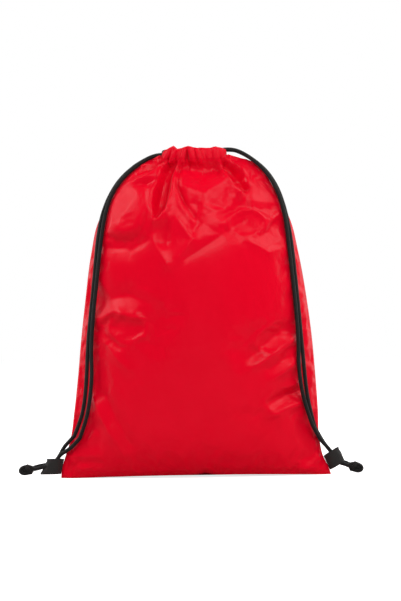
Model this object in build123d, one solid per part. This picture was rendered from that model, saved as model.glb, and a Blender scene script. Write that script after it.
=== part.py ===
from build123d import *
import math
import os

# Drawstring backpack: a two-panel cloth bag whose mouth is gathered on two cords that double as straps.
#
# Frame, in millimetres: the bag stands on its base at Z 0, mouth up (+Z), front towards -Y, left at
# -X, and the origin is the middle of the base. The two panels meet along both sides and the bottom in
# the plane Y 0. The top edge of each panel is turned over into a hem, a tunnel gathered into pleats.
# Each cord goes in at one end of the front hem, comes out at the other end, loops round into the back
# hem and returns, so both its ends leave at the same side. They run down that side as a strap, go
# through a loop of webbing sewn into the bottom corner, and are tied together in one knot.

# --- Driving sizes ---------------------------------------------------------------------------------
cloth = 1.2  # panel wall, taken thicker than the real cloth so that it can be handled as a solid
corner_power = 2.2  # how full a cross-section is across the panel
corner_ease = 0.75  # how round a cross-section turns into the side seam
outline_steps = 24  # spots on the outline of a cross-section, less one
fold_full_at = 14.0  # folds fade out where a panel is nearer than this to the seam plane
# Cross-sections of the filled bag: height, reach to the left, reach to the right, half depth.
base_section = (0.0, 175.2, 168.8, 30.0)
webbing_low_section = (5.0, 175.0, 167.5, 37.0)
webbing_high_section = (24.5, 170.5, 158.5, 51.0)
body_sections = [
    (45.0, 163.5, 154.5, 60.0),
    (85.0, 157.0, 153.0, 69.0),
    (130.0, 151.5, 150.0, 74.0),
    (175.0, 147.0, 146.5, 77.0),
    (225.0, 141.0, 140.5, 77.0),
    (285.0, 132.5, 130.5, 70.0),
    (325.0, 122.0, 120.5, 60.0),
    (355.0, 103.5, 105.0, 48.0),
    (378.0, 87.0, 92.0, 37.0),
    (393.0, 72.0, 80.0, 26.0),
]
rim_section = (402.4, 51.0, 54.0, 15.5)

# Main folds of each panel, as lines from one place to another: reach to the right and height at both
# ends, half width, and how far the cloth stands out, or sinks in where that is negative.
front_folds = [
    ((-24, 402), (-46, 335), 11, -7.0),  # deep fold that hangs from the left of the hem
    ((-6, 402), (-18, 350), 11, 3.0),
    ((8, 394), (24, 384), 15, -6.0),  # dent under the middle of the hem
    ((32, 402), (40, 372), 11, 3.0),
    ((44, 402), (62, 366), 11, -6.0),
    ((-66, 350), (-84, 322), 22, 5.0),  # facet on the upper left, with a hollow below it
    ((-100, 292), (-58, 300), 16, -5.0),
    ((72, 345), (92, 322), 20, 4.0),
    ((-4, 318), (8, 300), 14, -3.5),
    ((-98, 232), (-66, 228), 16, -5.0),
    ((-104, 184), (-60, 184), 15, 4.0),
    ((68, 176), (98, 180), 15, -4.0),
    ((78, 138), (108, 136), 15, 4.0),
    ((98, 86), (118, 88), 15, 4.0),
    ((-118, 94), (-106, 62), 14, 4.0),
    ((-94, 94), (-86, 56), 14, -4.0),
]
back_folds = [
    ((16, 402), (32, 346), 11, -7.0),
    ((2, 402), (4, 352), 12, 3.0),
    ((30, 402), (46, 348), 11, 3.5),
    ((-36, 402), (-62, 356), 11, -6.0),
    ((-50, 392), (-70, 366), 12, 3.0),
    ((-12, 392), (-6, 374), 14, -5.0),
    ((64, 344), (84, 320), 22, 5.0),
    ((98, 292), (58, 302), 16, -5.0),
    ((-86, 334), (-72, 314), 20, 4.0),
    ((-98, 292), (-64, 282), 15, -4.0),
    ((104, 230), (84, 224), 15, -4.5),
    ((-104, 180), (-76, 172), 15, 4.5),
    ((100, 172), (76, 178), 15, 4.0),
    ((116, 96), (104, 66), 15, 4.5),
    ((-112, 86), (-96, 82), 15, 4.5),
]

cord_diameter = 5.0
cord_clearance = 0.35
cord_pitch = 5.3  # between the middles of two cords that lie side by side

hem_gap = 0.8  # between the rim of the panels and the underside of the hems
hem_height = 18.0
hem_half_length = 40.0
hem_end_offset = 6.0  # from the seam plane to the tunnel's middle line, at the ends of a hem
hem_bow = 9.0  # how much further out that middle line is halfway along the hem
tunnel_floor = 3.6
hem_wall = 1.3
pleat_count = 10
outer_pleat_depth = 3.0
inner_pleat_depth = 0.8
ruffle_depth = 1.6  # how far the top edge dips between two pleats

allowance_width = 9.0  # seam allowances, inside the bag
allowance_thickness = 1.3
allowance_top = 380.0

webbing = 1.2
webbing_width = 20.0
webbing_reach = 22.0
webbing_gap = 0.6  # between the seam and the part of the loop outside it
loop_root_at = 2.4  # from the seam to where the two layers of webbing part
loop_full_at = 8.4  # from the seam to where the loop is fully open
anchor_depth = 8.0  # webbing caught inside the seam
anchor_gap = 0.3
lift_left = 11.0  # how far the tail pushes up the fold of the loop, at its lower end
lift_right = 6.0

knot_turn_radius = 4.5
knot_turn_pitch = 4.8
knot_core_radius = 3.6
knot_lean = 14.0  # degrees by which the outer turns of a knot lean
cord_tip = 5.0
knot_gap = 0.3  # between the end of a tail and its knot

# --- Sizes that follow -----------------------------------------------------------------------------
sections = [base_section, webbing_low_section, webbing_high_section, *body_sections, rim_section]
cord_radius = cord_diameter / 2
rim_height = rim_section[0]
hem_base = rim_height + hem_gap
hem_top = hem_base + hem_height
lower_cord = hem_base + tunnel_floor + cord_clearance + cord_radius
upper_cord = lower_cord + cord_diameter + 2 * cord_clearance
tunnel_height = 2 * cord_diameter + 4 * cord_clearance
tunnel_half_width = cord_radius + cord_clearance
hem_radius = (hem_half_length**2 + hem_bow**2) / (2 * hem_bow)
hem_centre = hem_end_offset + hem_bow - hem_radius
hem_half_angle = math.asin(hem_half_length / hem_radius)
loop_inner_radius = cord_pitch / 2 + cord_radius + cord_clearance
fold_at = webbing_reach - webbing - loop_inner_radius


# --- Panels ----------------------------------------------------------------------------------------
def fold_relief(x, height, side):
    """How far the folds of a panel stand out at one place of it."""
    relief = 0.0
    for (start_x, start_z), (end_x, end_z), half_width, rise in front_folds if side < 0 else back_folds:
        run_x, run_z = end_x - start_x, end_z - start_z
        share = ((x - start_x) * run_x + (height - start_z) * run_z) / (run_x**2 + run_z**2)
        share = min(1.0, max(0.0, share))
        distance = math.hypot(x - start_x - share * run_x, height - start_z - share * run_z)
        relief += rise * math.exp(-((distance / half_width) ** 2))
    return relief


def half_outline(section, inset, side, folded=True):
    """Face of one half of a cross-section, from the seam plane out to the belly of that panel."""
    height, left, right, depth = section
    middle, half_width = (right - left) / 2, (right + left) / 2 - inset
    points = []
    for step in range(outline_steps + 1):
        share = -math.cos(math.pi * step / outline_steps)
        bulge = (depth - inset) * (1 - abs(share) ** corner_power) ** corner_ease
        x = middle + half_width * share
        relief = fold_relief(x, height, side) * min(1.0, bulge / fold_full_at) if folded else 0.0
        points.append((x, side * (bulge + relief), height))
    belly = Spline(points)
    return make_face([belly, Line(belly @ 1, belly @ 0)])


def half_body(inset, side, folded=True):
    """Solid half of the bag, inset from its sides and belly, and from the base if it is a cavity."""
    floor = (base_section[0] + max(inset, 0), *base_section[1:])
    return loft([half_outline(section, inset, side, folded) for section in (floor, *sections[1:])])


def cavity_half(side):
    """Space inside one panel, carried on through the rim so that the bag is open at its mouth."""
    mouth = half_outline(rim_section, cloth, side)
    return half_body(cloth, side) + extrude(mouth, amount=cloth, dir=(0, 0, 1))


def panel(side):
    """One cloth panel: the skin between the outer and the inner half of the bag."""
    return half_body(0.0, side) - cavity_half(side)


# --- Seam allowances inside the bag ------------------------------------------------------------------
def reach(height, side):
    """Distance from the middle of the bag to its seam, straight between two cross-sections."""
    column = 1 if side < 0 else 2
    for low, high in zip(sections, sections[1:]):
        if low[0] <= height <= high[0]:
            share = (height - low[0]) / (high[0] - low[0])
            return low[column] + share * (high[column] - low[column])
    return rim_section[column]


def room_at_seams(inset):
    """Space inside the bag as it is beside its seams, where the folds have run out."""
    return half_body(inset, -1, folded=False) + half_body(inset, 1, folded=False)


def side_allowance(side, room):
    """Sewn edges of both panels, turned in along one side of the bag above the webbing."""
    low = webbing_high_section[0] + cloth
    heights = [low, *[section[0] for section in body_sections if section[0] < allowance_top], allowance_top]
    outer = [(side * reach(height, side), 0, height) for height in heights]
    inner = [(side * (reach(height, side) - cloth - allowance_width), 0, height) for height in heights]
    strip = make_face(Polyline(*outer, *reversed(inner), close=True))
    return extrude(strip, amount=allowance_thickness / 2, dir=(0, 1, 0), both=True) & room


def bottom_allowance(room):
    """Sewn edges of both panels, standing up along the base between the two webbing anchors."""
    left = reach(cloth, -1) - cloth - anchor_depth - allowance_width / 2
    right = reach(cloth, 1) - cloth - anchor_depth - allowance_width / 2
    strip = Box(left + right, allowance_thickness, allowance_width, align=(Align.CENTER, Align.CENTER, Align.MIN))
    return Pos((right - left) / 2, 0, cloth) * strip & room


# --- Hems ------------------------------------------------------------------------------------------
def hem_edge(offset, pleat_depth, side):
    """Long edge of a hem in plan: an arc, moved outwards by offset, with one wave for each pleat."""
    points = []
    steps = 8 * pleat_count
    for step in range(steps + 1):
        share = step / steps
        angle = hem_half_angle * (2 * share - 1)
        wave = pleat_depth / 2 * (1 - math.cos(2 * math.pi * pleat_count * share))
        radius = hem_radius + offset + wave
        points.append((radius * math.sin(angle), side * (hem_centre + radius * math.cos(angle)), hem_base))
    return Spline(points)


def hem_blank(side):
    """Gathered band of cloth, before its tunnel is opened and its top edge ruffled."""
    outer = hem_edge(tunnel_half_width + hem_wall, outer_pleat_depth, side)
    inner = hem_edge(-tunnel_half_width - hem_wall, -inner_pleat_depth, side)
    ends = [Line(outer @ 0, inner @ 0), Line(outer @ 1, inner @ 1)]
    return extrude(make_face([outer, inner, *ends]), amount=hem_height, dir=(0, 0, 1))


def hem_line(height, side, overrun=0.0):
    """Middle line of a tunnel at a height, an arc from left to right, longer than the hem by overrun."""
    angle = hem_half_angle + overrun / hem_radius
    end_x, end_y = hem_radius * math.sin(angle), hem_centre + hem_radius * math.cos(angle)
    middle = (0, side * (hem_centre + hem_radius), height)
    return ThreePointArc((-end_x, side * end_y, height), middle, (end_x, side * end_y, height))


def tunnel(side):
    """Space inside a hem for both cords, one above the other."""
    path = hem_line((lower_cord + upper_cord) / 2, side, overrun=cord_radius)
    start = Plane(path @ 0, x_dir=(0, 0, 1), z_dir=path % 0)
    return sweep(start * SlotOverall(tunnel_height, 2 * tunnel_half_width), path=path)


def hem(side):
    """Turned-over top edge of one panel, pleated, with a tunnel for the cords and a ruffled top."""
    band = hem_blank(side) - tunnel(side)
    pitch = 2 * hem_half_length / pleat_count
    dip_radius = (pitch**2 / 4 + ruffle_depth**2) / (2 * ruffle_depth)
    dip = Rot(90, 0, 0) * Cylinder(dip_radius, hem_half_length)
    for valley in range(pleat_count + 1):
        x = hem_radius * math.sin(hem_half_angle * (2 * valley / pleat_count - 1))
        band -= Pos(x, side * hem_half_length / 2, hem_top - ruffle_depth + dip_radius) * dip
    return band


# --- Webbing loops at the bottom corners --------------------------------------------------------------
def corner_frame(side):
    """Plane at the lower end of the sewn webbing: X runs outwards from the seam, Z up along the seam."""
    column = 1 if side < 0 else 2
    low, high = webbing_low_section, webbing_high_section
    rise, narrowing = high[0] - low[0], low[column] - high[column]
    lean = math.atan2(narrowing, rise)
    outwards = (side * math.cos(lean), 0, math.sin(lean))
    return Plane((side * low[column], 0, low[0]), x_dir=outwards, z_dir=(-side * math.sin(lean), 0, math.cos(lean)))


def loop_outline(wall):
    """Drop-shaped outline of the open webbing loop, grown outwards by wall."""
    circles = [
        CenterArc((loop_root_at, 0), webbing / 4 + wall, 0, 360),
        CenterArc((loop_full_at, 0), loop_inner_radius + wall, 0, 360),
        CenterArc((fold_at, 0), loop_inner_radius + wall, 0, 360),
    ]
    return make_face(make_hull(circles))


def webbing_loop(side, lift):
    """Strip of webbing folded in half: the loop outside the seam, which the cords go through."""
    stem_length = loop_root_at - webbing_gap
    stem = Pos(webbing_gap + stem_length / 2, 0) * Rectangle(stem_length, 2 * webbing)
    strip = extrude(loop_outline(webbing) + stem - loop_outline(0.0), amount=webbing_width, dir=(0, 0, 1))
    pushed_up = Box(webbing_reach, webbing_reach, lift, align=(Align.MIN, Align.CENTER, Align.MIN))
    return corner_frame(side) * (strip - Pos(fold_at, 0, 0) * pushed_up)


def webbing_anchor(side):
    """Both ends of the folded webbing, caught in the seam and lying inside the bag."""
    ends = Box(anchor_depth, 2 * webbing, webbing_width, align=(Align.MAX, Align.CENTER, Align.MIN))
    return corner_frame(side) * Pos(-cloth, 0, 0) * ends & room_at_seams(cloth + anchor_gap)


# --- Cords -----------------------------------------------------------------------------------------
# Routes are points on the middle line of a cord: X, Y, Z. Those of a strand run down from the end of
# its hem. A lead goes on from the lower end of its strand, through its own points, into the webbing
# loop. A tail goes on in the loop and out to the knot: X, Z, for two cords side by side.
strand_routes = {
    "left_cord_front_strand": [
        (-40.6, -5.9, lower_cord),
        (-49, -3.2, 409.5),
        (-62, -4.5, 404),
        (-78, -7, 393),
        (-94.5, -9, 377),
        (-107, -11.5, 357),
        (-113.5, -16, 335),
        (-118, -22, 310),
        (-121.5, -27, 282),
        (-126, -28, 242),
        (-131, -28.5, 200),
        (-133.5, -30, 163),
        (-132.5, -32.5, 130),
        (-136, -31.5, 98),
        (-141.5, -28, 72),
        (-149.5, -21.5, 52),
    ],
    "left_cord_back_strand": [
        (-40.6, 5.9, lower_cord),
        (-49, 3.2, 409.5),
        (-62, 2.5, 404.5),
        (-79, 0.5, 394),
        (-96.5, -1.5, 377.5),
        (-109, -4.5, 357),
        (-117.5, -10, 335),
        (-122.5, -17.5, 310),
        (-125.5, -22.5, 282),
        (-129.5, -23.5, 242),
        (-134.5, -24, 200),
        (-138, -25, 163),
        (-139.5, -25.8, 130),
        (-142.5, -25, 98),
        (-148, -21.5, 74),
        (-157, -14.5, 54),
    ],
    "right_cord_front_strand": [
        (40.6, -5.9, upper_cord),
        (49, -3.2, 415.8),
        (61, -4, 411.5),
        (76, -6.5, 401.5),
        (91, -8.5, 387),
        (102.5, -10.5, 369),
        (110.5, -14, 347),
        (115.5, -19.5, 323),
        (118.5, -25.5, 292),
        (122.5, -29.5, 252),
        (126, -32.5, 212),
        (128.5, -33.8, 172),
        (128, -34.8, 140),
        (131.5, -33, 110),
        (137.5, -28.5, 85),
        (145.5, -23, 63),
    ],
    "right_cord_back_strand": [
        (40.6, 5.9, upper_cord),
        (49, 3.2, 415.8),
        (61, 3, 411.5),
        (77, 0.8, 401.5),
        (92.5, -1, 387.5),
        (104.5, -3.5, 369),
        (112.5, -8, 347),
        (118, -14.5, 323),
        (122.5, -21.5, 292),
        (126, -25, 252),
        (129.5, -28, 212),
        (132.5, -29, 172),
        (135, -28.5, 140),
        (137.5, -27, 110),
        (142, -23, 84),
        (148.5, -15.5, 60),
    ],
}
lead_routes = {
    "left_cord_front_strand": [(-159, -15, 41), (-168, -8, 34.5), (-176.5, -3, 29.5), (-181, -2.65, 22.5)],
    "left_cord_back_strand": [(-167, -6.5, 44), (-172.5, -0.5, 37), (-176, 2.6, 30), (-181, 2.65, 22.5)],
    "right_cord_front_strand": [(152.5, -17, 49), (159.5, -9.5, 40), (166, -3.5, 33), (171, -2.65, 26)],
    "right_cord_back_strand": [(155.5, -5.5, 47.5), (160.5, 0, 39.5), (166, 2.6, 32.5), (171, 2.65, 26)],
}
tail_routes = {
    "left_cord_tail": [(-181.1, 22.2), (-184, 17), (-211, 12.4)],
    "right_cord_tail": [(171.2, 25.7), (179, 15), (192.5, 11)],
}


def bend_radii(points):
    """Largest arcs that fit at the inner points of a route."""
    vectors = [Vector(*second) - Vector(*first) for first, second in zip(points, points[1:])]
    radii = []
    for before, after in zip(vectors, vectors[1:]):
        half_turn = math.radians(before.get_angle(after)) / 2
        radii.append(0.45 * min(before.length, after.length) / math.tan(half_turn))
    return radii


def cord(points):
    """Round cord along a route of straight runs joined by tangent arcs."""
    radii = bend_radii(points)
    path = FilletPolyline(*points, radius=radii)
    tube = sweep(Plane(path @ 0, z_dir=path % 0) * Circle(cord_radius), path=path)
    expected = math.pi * cord_radius**2 * path.length
    print("  radii", [round(radius, 1) for radius in radii], "length", round(path.length, 1))
    print("  volume over section times length", round(tube.volume / expected, 4))
    return tube


def lead_route(name):
    """Route of the lead that goes on from a strand, straight at first so that the two meet squarely."""
    above, end = (Vector(*point) for point in strand_routes[name][-2:])
    direction = (end - above).normalized()
    square = [end + distance * direction for distance in (cord_clearance, cord_diameter)]
    return [*(tuple(point) for point in square), *lead_routes[name]]


def hem_run(height, side):
    """Cord inside a hem, from one end of the tunnel to the other."""
    path = hem_line(height, side)
    return sweep(Plane(path @ 0, z_dir=path % 0) * Circle(cord_radius), path=path)


def end_loop(height, end):
    """Cord turning from the front hem into the back hem, beyond the end where its strands don't leave."""
    direction = Vector(end * math.cos(hem_half_angle), math.sin(hem_half_angle), 0)
    start = Vector(end * hem_half_length, -hem_end_offset, height) + cord_clearance * direction
    path = TangentArc(start, Vector(start.X, -start.Y, height), tangent=direction)
    return sweep(Plane(path @ 0, z_dir=path % 0) * Circle(cord_radius), path=path)


def pair(solids):
    """Two cords kept as one group of separate solids."""
    return Compound(children=list(solids))


# --- Knots -----------------------------------------------------------------------------------------
def knot(name, side):
    """Both cords tied together: three round turns drawn tight, with the two cut tips beyond them."""
    (near_x, near_z), (far_x, far_z) = tail_routes[name + "_cord_tail"][-2:]
    droop = math.atan2(near_z - far_z, abs(far_x - near_x))
    along = Vector(side * math.cos(droop), 0, -math.sin(droop))
    turns = Part()
    for turn in (-1, 0, 1):
        ring = Torus(knot_turn_radius, cord_radius)
        turns += Pos(0, 0, turn * knot_turn_pitch) * Rot(turn * knot_lean, (1 - abs(turn)) * knot_lean, 0) * ring
    turns += Cylinder(knot_core_radius, 2 * knot_turn_pitch)
    tip = Cylinder(cord_radius, knot_turn_pitch + cord_tip, align=(Align.CENTER, Align.CENTER, Align.MIN))
    for turn in (-1, 1):
        turns += Pos(0, turn * cord_pitch / 2, 0) * Rot(0, turn * knot_lean / 2, 0) * tip
    seat = knot_turn_pitch + cord_radius * (1 + math.tan(math.radians(knot_lean))) + knot_gap
    middle = Vector(far_x, 0, far_z) + seat * along
    return Plane(middle, x_dir=(0, 1, 0), z_dir=along) * turns


# --- Build -----------------------------------------------------------------------------------------
os.makedirs("parts", exist_ok=True)
room = room_at_seams(cloth)
nodes = {
    "front_panel": panel(-1),
    "back_panel": panel(1),
    "bottom_seam_allowance": bottom_allowance(room),
    "front_hem": hem(-1),
    "back_hem": hem(1),
}
for name, side, lift, height in (("left", -1, lift_left, lower_cord), ("right", 1, lift_right, upper_cord)):
    nodes[name + "_seam_allowance"] = side_allowance(side, room)
    nodes[name + "_webbing_loop"] = webbing_loop(side, lift)
    nodes[name + "_webbing_anchor"] = webbing_anchor(side)
    nodes[name + "_cord_front_run"] = hem_run(height, -1)
    nodes[name + "_cord_back_run"] = hem_run(height, 1)
    nodes[name + "_cord_end_loop"] = end_loop(height, -side)
    nodes[name + "_cord_knot"] = knot(name, side)
for name, route in strand_routes.items():
    print(name)
    nodes[name] = cord(route)
for name in ("left_cord", "right_cord"):
    print(name + "_lead")
    nodes[name + "_lead"] = pair(cord(lead_route(name + strand)) for strand in ("_front_strand", "_back_strand"))
for name, route in tail_routes.items():
    print(name)
    nodes[name] = pair(cord([(x, sign * cord_pitch / 2, z) for x, z in route]) for sign in (-1, 1))
for name, solid in nodes.items():
    export_step(solid, "parts/" + name + ".step")
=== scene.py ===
import math
import bmesh
import bpy
import numpy as np
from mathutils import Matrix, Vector
from mathutils.kdtree import KDTree


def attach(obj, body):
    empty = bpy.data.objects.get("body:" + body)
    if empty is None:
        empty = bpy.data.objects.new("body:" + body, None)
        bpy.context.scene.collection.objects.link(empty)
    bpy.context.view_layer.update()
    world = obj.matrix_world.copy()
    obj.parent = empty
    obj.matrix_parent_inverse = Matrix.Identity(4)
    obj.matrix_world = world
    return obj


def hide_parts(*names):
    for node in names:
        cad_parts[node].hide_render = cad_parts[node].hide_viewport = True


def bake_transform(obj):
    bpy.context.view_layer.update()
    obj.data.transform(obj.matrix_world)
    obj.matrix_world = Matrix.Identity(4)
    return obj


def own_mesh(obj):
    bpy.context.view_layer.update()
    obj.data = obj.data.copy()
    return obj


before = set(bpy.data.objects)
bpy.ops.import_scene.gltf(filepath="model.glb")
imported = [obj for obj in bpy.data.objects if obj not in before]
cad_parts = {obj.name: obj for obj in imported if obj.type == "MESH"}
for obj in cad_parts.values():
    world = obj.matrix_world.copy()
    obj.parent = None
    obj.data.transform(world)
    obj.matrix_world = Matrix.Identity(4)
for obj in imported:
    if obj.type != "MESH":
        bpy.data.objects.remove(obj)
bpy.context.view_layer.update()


# ---- Camera -----------------------------------------------------------------------------------------
# A long lens looks level at the front of the bag from a few metres away. It is rolled by under one
# degree, so that the bag leans a little to its left.
camera_distance = 3.0
frame_height = 0.7663
sensor_height = 36
camera = bpy.data.objects.new("camera", bpy.data.cameras.new("camera"))
bpy.context.collection.objects.link(camera)
camera.data.sensor_fit = "VERTICAL"
camera.data.sensor_height = sensor_height
camera.data.lens = sensor_height * camera_distance / frame_height
camera.data.clip_end = 50
camera.location = (0.0057, -camera_distance, 0.2236)
camera.rotation_euler = (math.radians(90), math.radians(0.858), 0)
bpy.context.scene.camera = camera
bpy.context.scene.view_settings.view_transform = "Standard"


# ---- Cords ------------------------------------------------------------------------------------------
# Two braided polyester cords, 5 mm thick. Each goes through both hems and leaves with both its ends at
# the same side. They run down that side as a strap and go through a webbing loop at the bottom corner.
cord_diameter = 0.005
cord_radius = cord_diameter / 2


class Socket:
    """A value or a colour in a material, so that shader maths reads as plain sums."""

    def __init__(self, tree, socket):
        self.tree = tree
        self.socket = socket

    def join(self, kind, other, swap=False):
        first, second = (other, self) if swap else (self, other)
        return node(self.tree, "ShaderNodeMath", {"operation": kind}, {0: first, 1: second})

    def __add__(self, other):
        return self.join("ADD", other)

    def __sub__(self, other):
        return self.join("SUBTRACT", other)

    def __mul__(self, other):
        return self.join("MULTIPLY", other)

    def __truediv__(self, other):
        return self.join("DIVIDE", other)

    def __rsub__(self, other):
        return self.join("SUBTRACT", other, swap=True)

    def __rtruediv__(self, other):
        return self.join("DIVIDE", other, swap=True)

    __radd__ = __add__
    __rmul__ = __mul__


def node(tree, kind, settings, inputs, output=0):
    """Adds a node: its settings are made first, then its sockets get values or links."""
    made = tree.nodes.new(kind)
    for name, value in settings.items():
        setattr(made, name, value)
    for name, value in inputs.items():
        if isinstance(value, Socket):
            tree.links.new(value.socket, made.inputs[name])
        else:
            made.inputs[name].default_value = value
    return Socket(tree, made.outputs[output])


def finish_with(name, **constants):
    """A new material, with its node tree and its shader, whose plain sockets get their values."""
    material = bpy.data.materials.new(name)
    material.use_nodes = True
    shader = material.node_tree.nodes["Principled BSDF"]
    for socket, value in constants.items():
        shader.inputs[socket.replace("_", " ")].default_value = value
    return material, material.node_tree, shader


def tinted(tree, factor, low, high):
    """A colour that goes from low to high with a factor. A Mix node has its colours on sockets 6 and 7."""
    colours = {0: factor, 6: (*low, 1), 7: (*high, 1)}
    return node(tree, "ShaderNodeMix", {"data_type": "RGBA"}, colours, output=2)


def ripple(tree, angle):
    """A wave from -1 to 1, for an angle in radians."""
    return node(tree, "ShaderNodeMath", {"operation": "SINE"}, {0: angle})


def noise(tree, scale, detail, distortion=0.0):
    """Uneven patches from 0 to 1, scale to a metre."""
    values = {"Scale": scale, "Detail": detail, "Distortion": distortion}
    return node(tree, "ShaderNodeTexNoise", {}, values)


def raised(tree, shader, height, distance):
    """Relief on a surface: height from 0 to 1, over a distance in metres."""
    bump = node(tree, "ShaderNodeBump", {}, {"Height": height, "Distance": distance, "Strength": 1.0})
    tree.links.new(bump.socket, shader.inputs["Normal"])


def laid_out(tree):
    """The two coordinates of a piece's own layout, in metres."""
    place = node(tree, "ShaderNodeUVMap", {"uv_map": "Layout"}, {})
    split = node(tree, "ShaderNodeSeparateXYZ", {}, {0: place})
    return split, Socket(tree, split.socket.node.outputs[1])


def run_along(points):
    """How far along a polyline each of its points is."""
    return np.concatenate([[0], np.cumsum(np.linalg.norm(np.diff(points, axis=0), axis=1))])


def evenly(points, count):
    """Points spread evenly along a polyline."""
    run = run_along(points)
    even = np.linspace(0, run[-1], count + 1)
    return np.stack([np.interp(even, run, points[:, axis]) for axis in range(points.shape[1])], 1)


route_spacing = 0.001


def smooth_route(points, spacing=route_spacing):
    """Evenly spaced points along one open NURBS spline, led by a given route in millimetres."""
    curve = bpy.data.curves.new("route", "CURVE")
    curve.dimensions = "3D"
    curve.resolution_u = 20
    spline = curve.splines.new("NURBS")
    spline.points.add(len(points) - 1)
    for control, (x, y, z) in zip(spline.points, points):
        control.co = (x / 1000, y / 1000, z / 1000, 1)
    spline.order_u = 3
    spline.use_endpoint_u = True
    holder = bpy.data.objects.new("route", curve)
    mesh = bpy.data.meshes.new_from_object(holder)
    line = np.array([vertex.co for vertex in mesh.vertices])
    bpy.data.objects.remove(holder)
    bpy.data.curves.remove(curve)
    bpy.data.meshes.remove(mesh)
    return evenly(line, max(8, round(run_along(line)[-1] / spacing)))


def new_piece(name, points, faces, layout=None):
    """A mesh piece from points and faces, with its layout in metres where it has one."""
    mesh = bpy.data.meshes.new(name)
    mesh.from_pydata([tuple(map(float, point)) for point in points], [], faces)
    if layout is not None:
        layer = mesh.uv_layers.new(name="Layout")
        layer.uv.foreach_set("vector", np.array(layout, dtype=np.float32).ravel())
    mesh.polygons.foreach_set("use_smooth", [True] * len(mesh.polygons))
    mesh.update()
    piece = bpy.data.objects.new(name, mesh)
    bpy.context.collection.objects.link(piece)
    return piece


def tube(name, line, radius=cord_radius, around=16, first_length=0.0, closed_ends=(True, True)):
    """A round cord along a line, slightly squeezed here and there as a soft braid is."""
    line = np.asarray(line)
    tangents = np.gradient(line, axis=0)
    tangents /= np.linalg.norm(tangents, axis=1)[:, None]
    side = np.cross(tangents[0], (0.0, 1.0, 0.0))
    if np.linalg.norm(side) < 0.1:
        side = np.cross(tangents[0], (1.0, 0.0, 0.0))
    along = first_length
    points, lengths = [], []
    for index, (at, tangent) in enumerate(zip(line, tangents)):
        side = side - tangent * np.dot(side, tangent)
        side /= np.linalg.norm(side)
        up = np.cross(tangent, side)
        if index:
            along += float(np.linalg.norm(at - line[index - 1]))
        lengths.append(along)
        squeeze = 1 + 0.02 * math.sin(along * 310) * math.sin(along * 97 + 1)
        for step in range(around):
            angle = 2 * math.pi * step / around
            points.append(at + radius * (squeeze * math.cos(angle) * side + math.sin(angle) / squeeze * up))
    faces, layout = [], []
    turn = 2 * math.pi * radius
    for ring in range(len(line) - 1):
        for step in range(around):
            after = (step + 1) % around
            low, high = ring * around, (ring + 1) * around
            faces.append((low + step, low + after, high + after, high + step))
            across = [turn * step / around, turn * (step + 1) / around]
            layout += [(across[0], lengths[ring]), (across[1], lengths[ring])]
            layout += [(across[1], lengths[ring + 1]), (across[0], lengths[ring + 1])]
    for end, ring in enumerate((0, len(line) - 1)):
        if not closed_ends[end]:
            continue
        bulge = radius * 0.35 * (tangents[ring] if end else -tangents[ring])
        middle = len(points)
        points.append(line[ring] + bulge)
        for step in range(around):
            after = (step + 1) % around
            pair = (ring * around + after, ring * around + step)
            faces.append((*(pair if end == 0 else pair[::-1]), middle))
            layout += [(0.0, lengths[ring])] * 3
    return new_piece(name, points, faces, layout)


def braid():
    """Black braided polyester: two sets of strands cross over and under on a slant."""
    material, tree, shader = finish_with(
        "braided_cord", Specular_IOR_Level=0.2, Sheen_Weight=0.06, Sheen_Roughness=0.4
    )
    around, along = laid_out(tree)
    turn = 2 * math.pi * cord_radius
    strands = 6
    stride = 0.0105
    falling = (around / turn + along / stride) * strands
    rising = (around / turn - along / stride) * strands
    over = ripple(tree, falling * (2 * math.pi))
    under = ripple(tree, rising * (2 * math.pi))
    weave = (over * under) * 0.5 + 0.5
    fibre = noise(tree, 2200.0, 2.0)
    worn = noise(tree, 60.0, 2.0)
    shade = weave * 0.75 + fibre * 0.25
    colour = tinted(tree, shade, (0.001, 0.0009, 0.0009), (0.022, 0.0195, 0.0185))
    tree.links.new(colour.socket, shader.inputs["Base Color"])
    tree.links.new((0.62 - weave * 0.14 + worn * 0.1).socket, shader.inputs["Roughness"])
    raised(tree, shader, weave * 0.8 + fibre * 0.2, 0.0005)
    return material


cord_finish = braid()
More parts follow.
